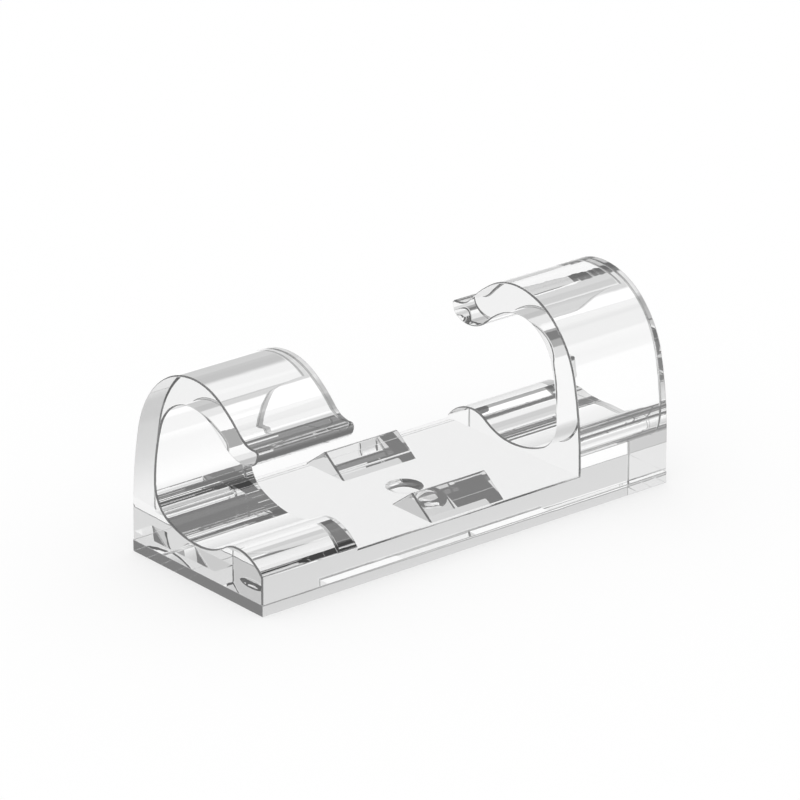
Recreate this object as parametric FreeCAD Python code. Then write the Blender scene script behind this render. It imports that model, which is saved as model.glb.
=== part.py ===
import FreeCAD, Part
import math
import os

# A clear moulded cable clip on a clear adhesive pad, lengths in millimetres.
# X runs along the base, the way the cables lie. Y runs across it. Z is up.
# The origin is the middle of the underside of the pad.

# Base plate and pad
base_length = 41.0
base_width = 16.0
pad_thickness = 0.95
plate_thickness = 2.05
edge_bevel = 0.15

# Hooks: one at each end, the second is the first turned half a turn.
# An offset is measured from the middle of the base towards the front, a setback from
# the front of the base, a lean or step from the outer or inner face of the wall,
# a drop down from the top of the hook, a fall down from the top of the flared tip
# and a rise up from the plate.
hook_length = 9.3
hook_height = 16.7
wall_thickness = 2.9
crown_thickness = 2.45

# Outer side of the hook, from the wall over the crown to the nose
wall_straight = 0.65
shoulder_lean = 0.8
shoulder_drop = 6.0
crown_offset = -0.1
neck_setback = 2.6
neck_drop = 2.8
neck_slope = 46.0
flare_setback = 0.9
flare_drop = 3.45
nose_setback = 0.45
nose_fall = 0.3
tip_thickness = 1.65

# Inner side of the hook, from under the nose back to the narrowest part of the wall
chin_setback = 2.3
throat_setback = 4.7
throat_drop = 4.15
roof_offset = -0.5
haunch_step = 0.6
haunch_drop = 5.85
waist_rise = 3.6

# Cradle under the hook and the lip in front of it
cradle_offset = 0.15
cradle_rise = 0.25
lip_back_setback = 4.6
lip_back_rise = 1.2
lip_top_setback = 3.05
lip_top_rise = 1.65
lip_front_rise = 0.2
lip_front_radius = 0.3

# Two three-sided ridges across the middle of the plate
ridge_length = 7.4
ridge_base = 4.75
ridge_height = 1.75
ridge_margin = 0.33
ridge_root = 0.1
ridge_apex_radius = 0.25
ridge_end_radius = 0.15

# Round dimple in the plate between the ridges
dimple_diameter = 3.0
dimple_depth = 0.45
dimple_shift_along = -0.65
dimple_shift_across = -0.8

plate_top = pad_thickness + plate_thickness
same_place = 1e-4


def tangent_arc(start, heading, end):
    """Arc that leaves start along heading and reaches end, with its last heading."""
    chord = end - start
    left_of_heading = FreeCAD.Vector(0, -heading.z, heading.y)
    bow = 2 * chord.dot(left_of_heading)
    if abs(bow) < same_place:
        return Part.makeLine(start, end), heading
    radius = chord.dot(chord) / bow
    centre = start + left_of_heading * radius
    right_of_chord = FreeCAD.Vector(0, chord.z, -chord.y).normalize()
    middle = centre + right_of_chord * radius
    spoke = end - centre
    last_heading = FreeCAD.Vector(0, -spoke.z, spoke.y) * (1 / radius)
    return Part.Arc(start, middle, end).toShape(), last_heading


def meeting_point(start, heading, end, last_heading):
    """Where two arcs meet that leave start along heading and reach end along last_heading."""
    chord = end - start
    both = heading + last_heading
    along = chord.dot(both)
    spread = 4 - both.dot(both)
    square = chord.dot(chord)
    tangent = square / (along + math.sqrt(along * along + spread * square))
    return (start + heading * tangent + end - last_heading * tangent) * 0.5


def hook_outline(x):
    """Closed outline of one hook with its cradle and lip, in the plane at x."""
    front = -base_width / 2
    back = base_width / 2
    inner = back - wall_thickness
    top = hook_height
    tip_top = top - flare_drop
    up = FreeCAD.Vector(0, 0, 1)
    down = FreeCAD.Vector(0, 0, -1)
    to_front = FreeCAD.Vector(0, -1, 0)
    to_back = FreeCAD.Vector(0, 1, 0)
    slope = math.radians(neck_slope)
    down_neck = FreeCAD.Vector(0, -math.cos(slope), -math.sin(slope))

    def spot(y, z):
        return FreeCAD.Vector(x, y, z)

    # Each stop has the heading there, or None where one arc reaches it.
    stops = [
        (spot(back - shoulder_lean, top - shoulder_drop), None),
        (spot(-crown_offset, top), to_front),
        (spot(front + neck_setback, top - neck_drop), down_neck),
        (spot(front + flare_setback, tip_top), None),
        (spot(front + nose_setback, tip_top - nose_fall), down),
        (spot(front + chin_setback, tip_top - tip_thickness), to_back),
        (spot(front + throat_setback, top - throat_drop), None),
        (spot(-roof_offset, top - crown_thickness), to_back),
        (spot(inner - haunch_step, top - haunch_drop), None),
        (spot(inner, plate_top + waist_rise), down),
        (spot(-cradle_offset, plate_top + cradle_rise), to_front),
        (spot(front + lip_back_setback, plate_top + lip_back_rise), None),
        (spot(front + lip_top_setback, plate_top + lip_top_rise), to_front),
        (spot(front, plate_top + lip_front_rise), None),
    ]
    foot_back = spot(back, pad_thickness)
    foot_front = spot(front, pad_thickness)
    place = spot(back, plate_top + wall_straight)
    heading = up
    edges = [Part.makeLine(foot_back, place)]
    for stop, last_heading in stops:
        if last_heading:
            meeting = meeting_point(place, heading, stop, last_heading)
            edge, heading = tangent_arc(place, heading, meeting)
            edges.append(edge)
            place = meeting
        edge, heading = tangent_arc(place, heading, stop)
        edges.append(edge)
        place = stop
    edges.append(Part.makeLine(place, foot_front))
    edges.append(Part.makeLine(foot_front, foot_back))
    return Part.Wire(edges)


def lies_across(edge, x):
    """True for an edge that lies in the plane at x."""
    box = edge.BoundBox
    return abs(box.XMin - x) < same_place and abs(box.XMax - x) < same_place


def make_hook():
    """Hook at the low end of the base, its wall along the far long side."""
    outer_end = -base_length / 2
    inner_end = outer_end + hook_length
    face = Part.Face(hook_outline(outer_end))
    hook = face.extrude(FreeCAD.Vector(hook_length, 0, 0))
    lip_front = plate_top + lip_front_rise
    lip_edges = []
    for edge in hook.Edges:
        box = edge.BoundBox
        level = max(abs(box.ZMin - lip_front), abs(box.ZMax - lip_front))
        if level < same_place and box.YMax < -base_width / 2 + same_place:
            lip_edges.append(edge)
    hook = hook.makeFillet(lip_front_radius, lip_edges)
    rims = []
    for edge in hook.Edges:
        at_an_end = lies_across(edge, outer_end) or lies_across(edge, inner_end)
        if at_an_end and edge.BoundBox.ZMax > pad_thickness + same_place:
            rims.append(edge)
    return hook.makeChamfer(edge_bevel, rims)


def base_block(bottom, height):
    """Block with the outline of the base, its four upright corners bevelled."""
    corner = FreeCAD.Vector(-base_length / 2, -base_width / 2, bottom)
    block = Part.makeBox(base_length, base_width, height, corner)
    upright = [e for e in block.Edges if e.BoundBox.ZLength > height - same_place]
    return block.makeChamfer(edge_bevel, upright)


def make_plate():
    plate = base_block(pad_thickness, plate_thickness)
    rim = [e for e in plate.Edges if e.BoundBox.ZMin > plate_top - same_place]
    return plate.makeChamfer(edge_bevel, rim)


def make_ridge(side):
    """Ridge on the far side of the plate for 1, on the near side for -1."""
    middle = side * (base_width / 2 - ridge_margin - ridge_base / 2)
    spread = (ridge_base / 2) * (1 + ridge_root / ridge_height)
    end = ridge_length / 2
    root = plate_top - ridge_root
    top = plate_top + ridge_height
    low_foot = FreeCAD.Vector(-end, middle - spread, root)
    high_foot = FreeCAD.Vector(-end, middle + spread, root)
    apex = FreeCAD.Vector(-end, middle, top)
    face = Part.Face(Part.makePolygon([low_foot, high_foot, apex, low_foot]))
    ridge = face.extrude(FreeCAD.Vector(ridge_length, 0, 0))
    crest = [e for e in ridge.Edges if e.BoundBox.ZMin > top - same_place]
    ridge = ridge.makeFillet(ridge_apex_radius, crest)
    rims = []
    for edge in ridge.Edges:
        at_an_end = lies_across(edge, -end) or lies_across(edge, end)
        if at_an_end and edge.BoundBox.ZMax > root + same_place:
            rims.append(edge)
    return ridge.makeFillet(ridge_end_radius, rims)


def make_dimple():
    """Ball that presses the round dimple into the plate."""
    half = dimple_diameter / 2
    radius = (half * half + dimple_depth * dimple_depth) / (2 * dimple_depth)
    height = plate_top - dimple_depth + radius
    centre = FreeCAD.Vector(dimple_shift_along, dimple_shift_across, height)
    return Part.makeSphere(radius, centre)


def make_clip_body():
    """One clear moulding: plate, two hooks and two ridges, with the dimple cut in."""
    hook = make_hook()
    turned_hook = hook.copy()
    turned_hook.rotate(FreeCAD.Vector(0, 0, 0), FreeCAD.Vector(0, 0, 1), 180)
    body = make_plate().fuse([hook, turned_hook, make_ridge(1), make_ridge(-1)])
    body = body.removeSplitter().cut(make_dimple())
    return body.Solids[0]


def make_adhesive_pad():
    """Clear double-sided pad under the whole plate."""
    return base_block(0, pad_thickness)


os.makedirs("parts", exist_ok=True)
make_clip_body().exportStep("parts/clip_body.step")
make_adhesive_pad().exportStep("parts/adhesive_pad.step")
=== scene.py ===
import math

import bmesh
import bpy
from mathutils import Matrix, Vector


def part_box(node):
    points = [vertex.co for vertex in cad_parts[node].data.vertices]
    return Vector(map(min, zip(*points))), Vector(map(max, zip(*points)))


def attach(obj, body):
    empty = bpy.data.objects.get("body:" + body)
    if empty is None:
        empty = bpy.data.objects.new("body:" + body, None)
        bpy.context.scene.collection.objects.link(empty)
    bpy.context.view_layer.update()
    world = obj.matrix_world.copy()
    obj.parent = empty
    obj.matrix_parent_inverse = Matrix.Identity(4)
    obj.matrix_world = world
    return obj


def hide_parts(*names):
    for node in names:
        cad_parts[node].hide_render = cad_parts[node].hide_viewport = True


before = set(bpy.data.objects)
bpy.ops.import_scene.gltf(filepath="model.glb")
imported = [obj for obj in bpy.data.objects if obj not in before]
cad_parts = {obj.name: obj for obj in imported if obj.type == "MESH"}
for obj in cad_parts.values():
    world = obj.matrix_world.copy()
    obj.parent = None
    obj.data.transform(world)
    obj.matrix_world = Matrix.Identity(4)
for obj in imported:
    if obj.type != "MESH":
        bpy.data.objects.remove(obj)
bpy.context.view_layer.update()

# Looks of a clear moulded cable clip on its clear adhesive pad.
# Shapes are worked out in millimetres in the frame's own axes and scaled to metres last.
# X runs along the base, Y across it, Z up.

MM = 0.001

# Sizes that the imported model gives
body_low, body_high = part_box("clip_body")
pad_low, pad_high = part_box("adhesive_pad")
base_length = (body_high.x - body_low.x) / MM
base_width = (body_high.y - body_low.y) / MM
hook_height = body_high.z / MM
pad_thickness = pad_high.z / MM

# Plate
plate_thickness = 2.05

# Hook: offsets from the middle towards the front, setbacks from the front of the base,
# lean and step from the wall's faces, drops and falls downwards, rises from the plate
hook_length = 9.3
wall_thickness = 2.9
crown_thickness = 2.45
wall_straight = 0.65
shoulder_lean, shoulder_drop = 0.8, 6.0
crown_offset = -0.1
neck_setback, neck_drop, neck_slope = 2.6, 2.8, 46.0
flare_setback, flare_drop = 0.9, 3.45
nose_setback, nose_fall = 0.45, 0.3
tip_thickness = 1.65
chin_setback = 2.3
throat_setback, throat_drop = 4.7, 4.15
roof_offset = -0.5
haunch_step, haunch_drop = 0.75, 5.3
waist_rise = 3.6
cradle_offset, cradle_rise = 0.15, 0.25
lip_back_setback, lip_back_rise = 4.6, 1.2
lip_top_setback, lip_top_rise = 3.05, 1.65
lip_front_rise, lip_front_radius = 0.2, 0.3

# Ridges and dimple
ridge_length = 7.4
ridge_base = 4.75
ridge_height = 1.75
ridge_margin = 0.33
ridge_root = 0.1
ridge_apex_radius = 0.25
dimple_diameter, dimple_depth = 3.0, 0.3
dimple_power = 4
dimple_steps = 24
dish_sides = 96
dimple_along, dimple_across = -0.65, -0.8

# Film of air between the pad and the moulding
air_film = 0.01

# Rounding of the rims, and a finer one of the edges at the foot and round the pad. Edges up to
# foot_band above the pad count as the foot's.
edge_radius = 0.14
foot_radius = 0.04
foot_band = 0.1
edge_steps = 4
rounded_from = math.radians(60.0)

# Fineness of curved faces, the sharpest edge that is shaded smooth, and how far the shading
# follows the largest faces in percent
turn_step = math.radians(3.0)
sharpest_smooth = math.radians(28.0)
large_face_weight = 100

# Below these a bow counts as straight, two places as one and two faces as flat
straight_bow = 1e-6
same_place = 1e-4
flat_turn = math.radians(0.05)

# Clear plastic as the photograph shows it: its tint at each face, the index by which it bends
# light, the share of the lamps' light that a face lets through, and the share of light mirrored
# from inside that counts as all of it
plastic_tint = 0.983
plastic_index = 2.5
lamp_share = 0.7
total_reflection = 0.9999

# Faint grain of the faces: noise cells to a metre, and their height in metres
grain_scale = 500.0
grain_height = 0.000003

# Painted glow where light stays caught in each piece: rays deeper than the deepest ray that still
# gets on give out a fixed level in place of their light. It is near black in the clip, which is
# painted shade, and grey in the pad. The camera's own ray has depth 0 at the first face.
clip_painted_glow, clip_depth = 0.04, 7
pad_painted_glow, pad_depth = 0.15, 6

# Most bounces of a path of light, and most clear faces that it crosses
most_bounces = 32
most_clear_faces = 24

# Floor: gap under the pad in millimetres, half its side in metres, and the share of its level
# that the lamps give
floor_gap = 0.02
floor_half_side = 2.0
floor_lit_share = 0.4

# Studio that shows in the plastic, in three sectors. Each zone is an elevation in degrees and
# the level there, black at 0 and white at 1. Azimuths run from +Y towards +X.
behind_zones = [
    (-90, 0.8), (-40, 0.95), (-30, 1.0), (-20, 1.0), (-17, 1.1), (-5, 1.1), (-1, 0.64), (22, 0.66),
    (26, 0.57), (37, 0.57), (40, 0.92), (50, 0.92), (51, 1.1), (62, 1.1), (64, 0.6), (90, 0.5),
]
right_zones = [
    (-90, 0.7), (-45, 0.7), (-34, 0.85), (-26, 1.08), (10, 1.1), (12, 0.82), (28, 0.82),
    (30, 0.4), (39, 0.4), (41, 0.15), (50, 0.15), (51, 1.15), (62, 1.15), (64, 0.6), (90, 0.5),
]
left_zones = [
    (-90, 0.8), (-45, 0.68), (-30, 0.55), (-18, 0.5), (-8, 0.62), (0, 0.78), (15, 0.8),
    (50, 0.7), (62, 0.7), (90, 0.5),
]

# Azimuth in the middle of the right sector, with the left one opposite, and the cosines of the
# turn from it between which each of the two fades in
right_azimuth = math.radians(135)
right_fade = (0.45, 0.85)
left_fade = (-0.35, -0.75)

# Patches of the studio: azimuth, half width, lowest and highest elevation in degrees, level,
# and the deepest ray that sees it. A mirror image in a first face has depth 2 there, so the
# panel glints on outer faces only. The screen makes the grey band across the left hook's end.
dark_screen = (119, 18, 49.5, 54.5, 0.4, most_bounces)
glint_panel = (93, 20, 43, 60, 0.95, 2)

# Level of the soft light that falls on the floor
lamp_level = 1.0

# Camera, fitted to the corners and edges in the photograph, in millimetres and degrees
camera_place = (-243.491, -290.309, 163.317)
camera_azimuth, camera_elevation, camera_roll = 39.933, 22.054, 0.287
camera_lens, camera_sensor = 237.12, 36.0

# Room that each node gets in the node editor
node_spacing = 200

plate_top = pad_thickness + plate_thickness
front = -base_width / 2
back = base_width / 2


def arc_points(start, heading, end):
    """Points of the arc that leaves start along heading and reaches end, and its last heading."""
    chord = end - start
    left = Vector((-heading.y, heading.x))
    bow = 2 * chord.dot(left)
    if abs(bow) < straight_bow:
        return [end], heading
    radius = chord.dot(chord) / bow
    centre = start + left * radius
    turn = 2 * math.atan2(chord.dot(left), chord.dot(heading))
    steps = max(1, round(abs(turn) / turn_step))
    spoke = start - centre
    points = []
    for step in range(1, steps + 1):
        points.append(centre + Matrix.Rotation(turn * step / steps, 2) @ spoke)
    return points, Matrix.Rotation(turn, 2) @ heading


def meeting_point(start, heading, end, last_heading):
    """Where two arcs meet that leave start along heading and reach end along last_heading."""
    chord = end - start
    both = heading + last_heading
    along = chord.dot(both)
    square = chord.dot(chord)
    tangent = square / (along + math.sqrt(along * along + (4 - both.dot(both)) * square))
    return (start + heading * tangent + end - last_heading * tangent) * 0.5


def rounded_corner(before, corner, after, radius):
    """Points that round a corner of an outline with the given radius."""
    inward = (before - corner).normalized()
    outward = (after - corner).normalized()
    half = inward.angle(outward) / 2
    reach = radius / math.tan(half)
    points, _ = arc_points(corner + inward * reach, -inward, corner + outward * reach)
    return [corner + inward * reach] + points


def hook_outline():
    """Outline of one hook with its cradle and lip, as points across and up."""
    inner = back - wall_thickness
    tip_top = hook_height - flare_drop
    up, down = Vector((0, 1)), Vector((0, -1))
    to_front, to_back = Vector((-1, 0)), Vector((1, 0))
    slope = math.radians(neck_slope)
    down_neck = Vector((-math.cos(slope), -math.sin(slope)))
    stops = [
        (back - shoulder_lean, hook_height - shoulder_drop, None),
        (-crown_offset, hook_height, to_front),
        (front + neck_setback, hook_height - neck_drop, down_neck),
        (front + flare_setback, tip_top, None),
        (front + nose_setback, tip_top - nose_fall, down),
        (front + chin_setback, tip_top - tip_thickness, to_back),
        (front + throat_setback, hook_height - throat_drop, None),
        (-roof_offset, hook_height - crown_thickness, to_back),
        (inner - haunch_step, hook_height - haunch_drop, None),
        (inner, plate_top + waist_rise, down),
        (-cradle_offset, plate_top + cradle_rise, to_front),
        (front + lip_back_setback, plate_top + lip_back_rise, None),
        (front + lip_top_setback, plate_top + lip_top_rise, to_front),
        (front, plate_top + lip_front_rise, None),
    ]
    place, heading = Vector((back, plate_top + wall_straight)), up
    points = [Vector((back, pad_thickness)), place]
    for across, height, last_heading in stops:
        stop = Vector((across, height))
        if last_heading:
            meeting = meeting_point(place, heading, stop, last_heading)
            added, heading = arc_points(place, heading, meeting)
            points += added
            place = meeting
        added, heading = arc_points(place, heading, stop)
        points += added
        place = stop
    lip_corner = points.pop()
    while (points[-1] - lip_corner).length < lip_front_radius:
        points.pop()
    foot = Vector((front, pad_thickness))
    points += rounded_corner(points[-1], lip_corner, foot, lip_front_radius)
    points.append(foot)
    return points


def ridge_outline(side):
    """Outline of a ridge with a rounded crest, on the far side for 1, the near one for -1."""
    middle = side * (base_width / 2 - ridge_margin - ridge_base / 2)
    spread = (ridge_base / 2) * (1 + ridge_root / ridge_height)
    low = Vector((middle - spread, plate_top - ridge_root))
    high = Vector((middle + spread, plate_top - ridge_root))
    apex = Vector((middle, plate_top + ridge_height))
    return [high] + rounded_corner(high, apex, low, ridge_apex_radius) + [low]


def prism(name, outline, start, end):
    """Closed mesh object of an outline across and up, drawn out along X."""
    mesh = bmesh.new()
    rows = []
    for x in (start, end):
        rows.append([mesh.verts.new((x, p.x, p.y)) for p in outline])
    mesh.faces.new(rows[0])
    mesh.faces.new(reversed(rows[1]))
    count = len(outline)
    for i in range(count):
        j = (i + 1) % count
        mesh.faces.new((rows[0][j], rows[0][i], rows[1][i], rows[1][j]))
    return as_object(name, mesh)


def as_object(name, mesh):
    """Object in the scene that takes the mesh over, its faces turned outwards."""
    bmesh.ops.recalc_face_normals(mesh, faces=mesh.faces)
    data = bpy.data.meshes.new(name)
    mesh.to_mesh(data)
    mesh.free()
    made = bpy.data.objects.new(name, data)
    bpy.context.scene.collection.objects.link(made)
    return made


def block(name, bottom, top):
    """Block with the outline of the base."""
    half = base_length / 2
    outline = [Vector(p) for p in ((back, bottom), (back, top), (front, top), (front, bottom))]
    return prism(name, outline, -half, half)


def dish(name, along, across):
    """Plug with a flattened round end that presses the dimple into the plate."""
    mesh = bmesh.new()
    rim = dimple_diameter / 2
    levels = [(rim, dimple_depth)]
    for step in range(dimple_steps):
        out = 1 - step / dimple_steps
        levels.append((rim * out, -dimple_depth * (1 - out**dimple_power)))
    rings = []
    for radius, height in levels:
        ring = []
        for step in range(dish_sides):
            turn = 2 * math.pi * step / dish_sides
            x, y = along + radius * math.cos(turn), across + radius * math.sin(turn)
            ring.append(mesh.verts.new((x, y, plate_top + height)))
        rings.append(ring)
    mesh.faces.new(rings[0])
    mesh.faces.new(reversed(rings[-1]))
    for upper, lower in zip(rings, rings[1:]):
        for i in range(dish_sides):
            j = (i + 1) % dish_sides
            mesh.faces.new((upper[i], lower[i], lower[j], upper[j]))
    return as_object(name, mesh)


def merge(target, tool, operation):
    """Joins tool to target or cuts it out, and deletes tool."""
    step = target.modifiers.new("merge", "BOOLEAN")
    step.operation = operation
    step.solver = "EXACT"
    step.object = tool
    with bpy.context.temp_override(object=target, active_object=target):
        bpy.ops.object.modifier_apply(modifier=step.name)
    bpy.data.objects.remove(tool)


def round_edges(made, radius, lowest=-math.inf, highest=math.inf):
    """Rounds the outer edges sharper than rounded_from whose upper ends lie between levels."""
    mesh = bmesh.new()
    mesh.from_mesh(made.data)
    bmesh.ops.remove_doubles(mesh, verts=mesh.verts, dist=same_place)
    bmesh.ops.dissolve_degenerate(mesh, edges=mesh.edges, dist=same_place)
    bmesh.ops.dissolve_limit(mesh, verts=mesh.verts, edges=mesh.edges, angle_limit=flat_turn)
    sharp = []
    for edge in mesh.edges:
        if not edge.is_manifold or edge.calc_face_angle_signed() < rounded_from:
            continue
        if lowest < max(v.co.z for v in edge.verts) < highest:
            sharp.append(edge)
    bmesh.ops.bevel(
        mesh,
        geom=sharp,
        offset=radius,
        offset_type="OFFSET",
        segments=edge_steps,
        profile=0.5,
        affect="EDGES",
        clamp_overlap=False,
    )
    mesh.to_mesh(made.data)
    mesh.free()


def smooth(made):
    """Scales the piece to metres and shades its round faces smooth and its flat ones flat."""
    made.data.transform(Matrix.Scale(MM, 4))
    made.data.shade_smooth()
    made.data.set_sharp_from_angle(angle=sharpest_smooth)
    weigh = made.modifiers.new("flat faces stay flat", "WEIGHTED_NORMAL")
    weigh.keep_sharp = True
    weigh.weight = large_face_weight
    with bpy.context.temp_override(object=made, active_object=made):
        bpy.ops.object.modifier_apply(modifier=weigh.name)


def make_clip():
    """Plate, two hooks and two ridges as one clear piece, with the dimple pressed in."""
    clip = block("clear_clip", pad_thickness, plate_top)
    outline = hook_outline()
    turned = [Vector((-p.x, p.y)) for p in outline]
    end = base_length / 2
    merge(clip, prism("hook", outline, -end, hook_length - end), "UNION")
    merge(clip, prism("turned_hook", turned, end - hook_length, end), "UNION")
    for side in (1, -1):
        ridge = prism("ridge", ridge_outline(side), -ridge_length / 2, ridge_length / 2)
        merge(clip, ridge, "UNION")
    merge(clip, dish("dimple", dimple_along, dimple_across), "DIFFERENCE")
    round_edges(clip, foot_radius, highest=pad_thickness + foot_band)
    round_edges(clip, edge_radius, lowest=pad_thickness + foot_band)
    smooth(clip)
    return clip


def make_pad():
    """Clear adhesive pad, a film of air below the plate."""
    pad = block("clear_pad", 0.0, pad_thickness - air_film)
    round_edges(pad, foot_radius)
    smooth(pad)
    return pad


def empty_tree(owner):
    """Node tree of a material or a world, with no nodes in it."""
    owner.use_nodes = True
    owner.node_tree.nodes.clear()
    return owner.node_tree


def node(tree, kind, **values):
    """Adds a node to the right of those that the tree has."""
    made = tree.nodes.new(kind)
    made.location.x = node_spacing * len(tree.nodes)
    for name, value in values.items():
        setattr(made, name, value)
    return made


def feed(tree, place, value):
    """Links a socket to an input, or writes a number or a vector there."""
    if isinstance(value, bpy.types.NodeSocket):
        tree.links.new(value, place)
    else:
        place.default_value = value


def reckon(tree, operation, *values):
    """Output of a Math node for sockets and numbers."""
    made = node(tree, "ShaderNodeMath", operation=operation)
    for place, value in zip(made.inputs, values):
        feed(tree, place, value)
    return made.outputs[0]


def mix_shaders(tree, share, below, above):
    """Output of a Mix Shader node, all of below at a share of 0 and all of above at 1."""
    made = node(tree, "ShaderNodeMixShader")
    for place, socket in zip(made.inputs, (share, below, above)):
        tree.links.new(socket, place)
    return made.outputs[0]


def mix_colours(tree, share, below, above):
    """Output of a Mix Color node, all of below at a share of 0 and all of above at 1."""
    made = node(tree, "ShaderNodeMix", data_type="RGBA")
    colours = [place for place in made.inputs if place.type == "RGBA"]
    tree.links.new(share, made.inputs["Factor"])
    feed(tree, colours[0], below)
    feed(tree, colours[1], above)
    return next(place for place in made.outputs if place.type == "RGBA")


def grey(level):
    """Colour of a grey level, with full alpha."""
    return (level, level, level, 1)


def grain_normal(tree):
    """Normal of a faintly grained face."""
    place = node(tree, "ShaderNodeTexCoord")
    noise = node(tree, "ShaderNodeTexNoise")
    noise.inputs["Scale"].default_value = grain_scale
    tree.links.new(place.outputs["Object"], noise.inputs["Vector"])
    bump = node(tree, "ShaderNodeBump")
    bump.inputs["Strength"].default_value = 1.0
    bump.inputs["Distance"].default_value = grain_height
    tree.links.new(noise.outputs["Fac"], bump.inputs["Height"])
    return bump.outputs["Normal"]


def outer_face(tree):
    """Glass as the eye meets it: part of the light mirrored, the rest bent inwards."""
    glass = node(tree, "ShaderNodeBsdfPrincipled")
    glass.inputs["Base Color"].default_value = grey(plastic_tint)
    glass.inputs["IOR"].default_value = plastic_index
    glass.inputs["Roughness"].default_value = 0.0
    glass.inputs["Transmission Weight"].default_value = 1.0
    tree.links.new(grain_normal(tree), glass.inputs["Normal"])
    return glass.outputs[0]


def inner_face(tree):
    """From inside, light goes out through a face or, past the critical angle, wholly back."""
    through = node(tree, "ShaderNodeBsdfRefraction")
    through.inputs["Color"].default_value = grey(plastic_tint)
    through.inputs["Roughness"].default_value = 0.0
    through.inputs["IOR"].default_value = plastic_index
    returned = node(tree, "ShaderNodeBsdfGlossy")
    returned.inputs["Color"].default_value = grey(plastic_tint)
    returned.inputs["Roughness"].default_value = 0.0
    share = node(tree, "ShaderNodeFresnel")
    share.inputs["IOR"].default_value = plastic_index
    whole = reckon(tree, "GREATER_THAN", share.outputs[0], total_reflection)
    return mix_shaders(tree, whole, through.outputs[0], returned.outputs[0])


def clear_material(name, painted_glow_level, deepest):
    """Clear plastic: glass to the eye, a thin film to lamps, and a painted glow of a fixed level
    past the deepest ray.
    """
    made = bpy.data.materials.new(name)
    tree = empty_tree(made)
    path = node(tree, "ShaderNodeLightPath").outputs
    side = node(tree, "ShaderNodeNewGeometry").outputs
    within = reckon(tree, "GREATER_THAN", path["Ray Depth"], 0.5)
    light = mix_shaders(tree, within, outer_face(tree), inner_face(tree))
    # Painted glow: rays deeper than deepest give out a fixed grey in place of the light they carry.
    painted_glow = node(tree, "ShaderNodeEmission")
    painted_glow.inputs["Color"].default_value = grey(painted_glow_level)
    painted_glow_share = reckon(tree, "GREATER_THAN", path["Ray Depth"], deepest + 0.5)
    plastic = mix_shaders(tree, painted_glow_share, light, painted_glow.outputs[0])

    # Lamps shine through, and a face mirrors the studio but not the other faces.
    lamps = reckon(tree, "MAXIMUM", path["Is Shadow Ray"], path["Is Diffuse Ray"])
    film = node(tree, "ShaderNodeBsdfTransparent")
    film_level = reckon(tree, "MULTIPLY_ADD", lamps, lamp_share - 1, 1.0)
    tree.links.new(film_level, film.inputs["Color"])
    outside = reckon(tree, "SUBTRACT", 1.0, side["Backfacing"])
    passed = reckon(tree, "MAXIMUM", outside, path["Transparent Depth"])
    mirrored = reckon(tree, "MULTIPLY", passed, path["Is Reflection Ray"])
    clear = reckon(tree, "MINIMUM", reckon(tree, "MAXIMUM", lamps, mirrored), 1.0)
    out = node(tree, "ShaderNodeOutputMaterial")
    tree.links.new(mix_shaders(tree, clear, plastic, film.outputs[0]), out.inputs["Surface"])
    return made


def seen_rays(tree, path):
    """1 for rays that glossy faces and clear plastic look along, 0 for the rest."""
    return reckon(tree, "MAXIMUM", path["Is Glossy Ray"], path["Is Transmission Ray"])


def make_floor():
    """White floor: the lit share of its level keeps the shadow."""
    mesh = bmesh.new()
    bmesh.ops.create_grid(mesh, x_segments=1, y_segments=1, size=floor_half_side)
    floor = as_object("floor", mesh)
    floor.location.z = -floor_gap * MM
    made = bpy.data.materials.new("white_floor")
    tree = empty_tree(made)
    lit = node(tree, "ShaderNodeBsdfDiffuse")
    lit.inputs["Color"].default_value = grey(floor_lit_share)
    white = node(tree, "ShaderNodeEmission")
    white.inputs["Color"].default_value = grey(1 - floor_lit_share)
    both = node(tree, "ShaderNodeAddShader")
    tree.links.new(lit.outputs[0], both.inputs[0])
    tree.links.new(white.outputs[0], both.inputs[1])
    # In the plastic the floor has the level of the studio's lower half.
    clear = node(tree, "ShaderNodeBsdfTransparent")
    rays = seen_rays(tree, node(tree, "ShaderNodeLightPath").outputs)
    out = node(tree, "ShaderNodeOutputMaterial")
    tree.links.new(mix_shaders(tree, rays, both.outputs[0], clear.outputs[0]), out.inputs["Surface"])
    floor.data.materials.append(made)


def zone_ramp(tree, height, zones):
    """Level of a sector of the studio where a direction's height runs from -1 to 1."""
    ramp = node(tree, "ShaderNodeValToRGB")
    stops = ramp.color_ramp.elements
    while len(stops) > 1:
        stops.remove(stops[-1])
    for i, (elevation, level) in enumerate(zones):
        spot = 0.5 + 0.5 * math.sin(math.radians(elevation))
        stop = stops[0] if i == 0 else stops.new(spot)
        stop.position = spot
        stop.color = grey(level)
    tree.links.new(reckon(tree, "MULTIPLY_ADD", height, 0.5, 0.5), ramp.inputs[0])
    return ramp.outputs["Color"]


def facing(tree, level_way, azimuth):
    """Cosine of the turn between a level direction and an azimuth."""
    made = node(tree, "ShaderNodeVectorMath", operation="DOT_PRODUCT")
    made.inputs[1].default_value = (math.sin(azimuth), math.cos(azimuth), 0)
    tree.links.new(level_way, made.inputs[0])
    return made.outputs["Value"]


def fade(tree, value, limits):
    """0 at the first limit and 1 at the last, with a soft change between them."""
    made = node(tree, "ShaderNodeMapRange", interpolation_type="SMOOTHSTEP")
    made.inputs["From Min"].default_value = limits[0]
    made.inputs["From Max"].default_value = limits[1]
    tree.links.new(value, made.inputs["Value"])
    return made.outputs[0]


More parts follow.
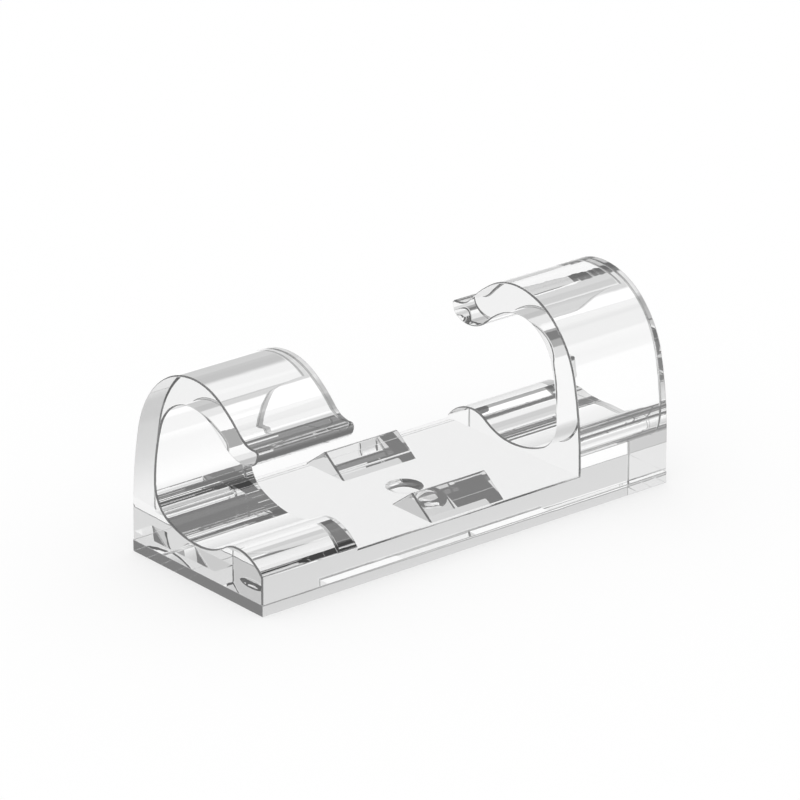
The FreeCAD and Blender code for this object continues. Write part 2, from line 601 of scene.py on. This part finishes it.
def studio_colour(tree, path):
    """Colour of the studio in a direction: three sectors of zones, with two patches on them."""
    way = node(tree, "ShaderNodeTexCoord")
    split = node(tree, "ShaderNodeSeparateXYZ")
    tree.links.new(way.outputs["Generated"], split.inputs[0])
    height = split.outputs["Z"]
    flat = node(tree, "ShaderNodeCombineXYZ")
    tree.links.new(split.outputs["X"], flat.inputs["X"])
    tree.links.new(split.outputs["Y"], flat.inputs["Y"])
    flat_way = node(tree, "ShaderNodeVectorMath", operation="NORMALIZE")
    tree.links.new(flat.outputs[0], flat_way.inputs[0])
    level_way = flat_way.outputs[0]

    to_right = facing(tree, level_way, right_azimuth)
    colour = zone_ramp(tree, height, behind_zones)
    for zones, limits in ((right_zones, right_fade), (left_zones, left_fade)):
        share = fade(tree, to_right, limits)
        colour = mix_colours(tree, share, colour, zone_ramp(tree, height, zones))
    for azimuth, half_width, lowest, highest, level, deepest in (dark_screen, glint_panel):
        cosine = facing(tree, level_way, math.radians(azimuth))
        gates = [
            reckon(tree, "GREATER_THAN", cosine, math.cos(math.radians(half_width))),
            reckon(tree, "GREATER_THAN", height, math.sin(math.radians(lowest))),
            reckon(tree, "LESS_THAN", height, math.sin(math.radians(highest))),
            reckon(tree, "LESS_THAN", path["Ray Depth"], deepest + 0.5),
        ]
        share = gates[0]
        for gate in gates[1:]:
            share = reckon(tree, "MULTIPLY", share, gate)
        colour = mix_colours(tree, share, colour, grey(level))
    return colour


def make_world():
    """White to the camera, soft light for lamps, and the studio in the plastic."""
    world = bpy.data.worlds.new("studio")
    bpy.context.scene.world = world
    tree = empty_tree(world)
    path = node(tree, "ShaderNodeLightPath").outputs
    studio = node(tree, "ShaderNodeBackground")
    tree.links.new(studio_colour(tree, path), studio.inputs["Color"])
    soft = node(tree, "ShaderNodeBackground")
    soft.inputs["Color"].default_value = grey(lamp_level)
    white = node(tree, "ShaderNodeBackground")
    white.inputs["Color"].default_value = grey(1)
    rest = mix_shaders(tree, seen_rays(tree, path), soft.outputs[0], studio.outputs[0])
    out = node(tree, "ShaderNodeOutputWorld")
    whole = mix_shaders(tree, path["Is Camera Ray"], rest, white.outputs[0])
    tree.links.new(whole, out.inputs["Surface"])


def make_camera():
    """Camera that looks along its azimuth and down by its elevation."""
    data = bpy.data.cameras.new("camera")
    data.lens = camera_lens
    data.sensor_width = camera_sensor
    camera = bpy.data.objects.new("camera", data)
    bpy.context.scene.collection.objects.link(camera)
    aim = Matrix.Rotation(-math.radians(camera_azimuth), 4, "Z")
    tip = Matrix.Rotation(math.radians(90 - camera_elevation), 4, "X")
    lean = Matrix.Rotation(math.radians(camera_roll), 4, "Z")
    camera.matrix_world = Matrix.Translation(Vector(camera_place) * MM) @ aim @ tip @ lean
    bpy.context.scene.camera = camera


bpy.context.scene.view_settings.view_transform = "Standard"
bpy.context.scene.cycles.max_bounces = most_bounces
bpy.context.scene.cycles.glossy_bounces = most_bounces
bpy.context.scene.cycles.transmission_bounces = most_bounces
bpy.context.scene.cycles.transparent_max_bounces = most_clear_faces

for piece, node_name, slot_name, painted_glow_level, deepest in (
    (make_clip(), "clip_body", "clear_plastic", clip_painted_glow, clip_depth),
    (make_pad(), "adhesive_pad", "clear_adhesive", pad_painted_glow, pad_depth),
):
    piece.data.materials.append(clear_material(slot_name, painted_glow_level, deepest))
    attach(piece, "root")
    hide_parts(node_name)

make_floor()
make_world()
make_camera()
